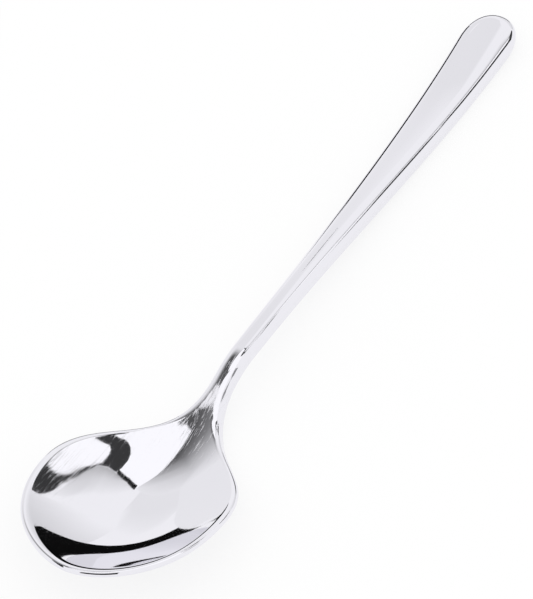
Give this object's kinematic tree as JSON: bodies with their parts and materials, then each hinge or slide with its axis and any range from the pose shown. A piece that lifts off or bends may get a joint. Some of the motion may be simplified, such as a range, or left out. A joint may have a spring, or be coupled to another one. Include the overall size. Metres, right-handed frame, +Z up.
{
  "type": "yogurt spoon",
  "caption": "Polished stainless steel spoon with a broad, shallow, nearly round bowl, a slim arched neck and a flat handle that widens towards its rounded, slightly turned-up end.",
  "frame": {"origin": "on the table under the middle of the spoon's length and width, with the spoon lying bowl up", "axes": "+X along the spoon from the bowl's tip to the handle's end, +Y to the left looking along +X, +Z up out of the bowl"},
  "size_m": [0.1712, 0.037, 0.011],
  "materials": {
    "polished_steel": "polished"
  },
  "bodies": {
    "root": {"spoon": "polished_steel"}
  },
  "joints": []
}
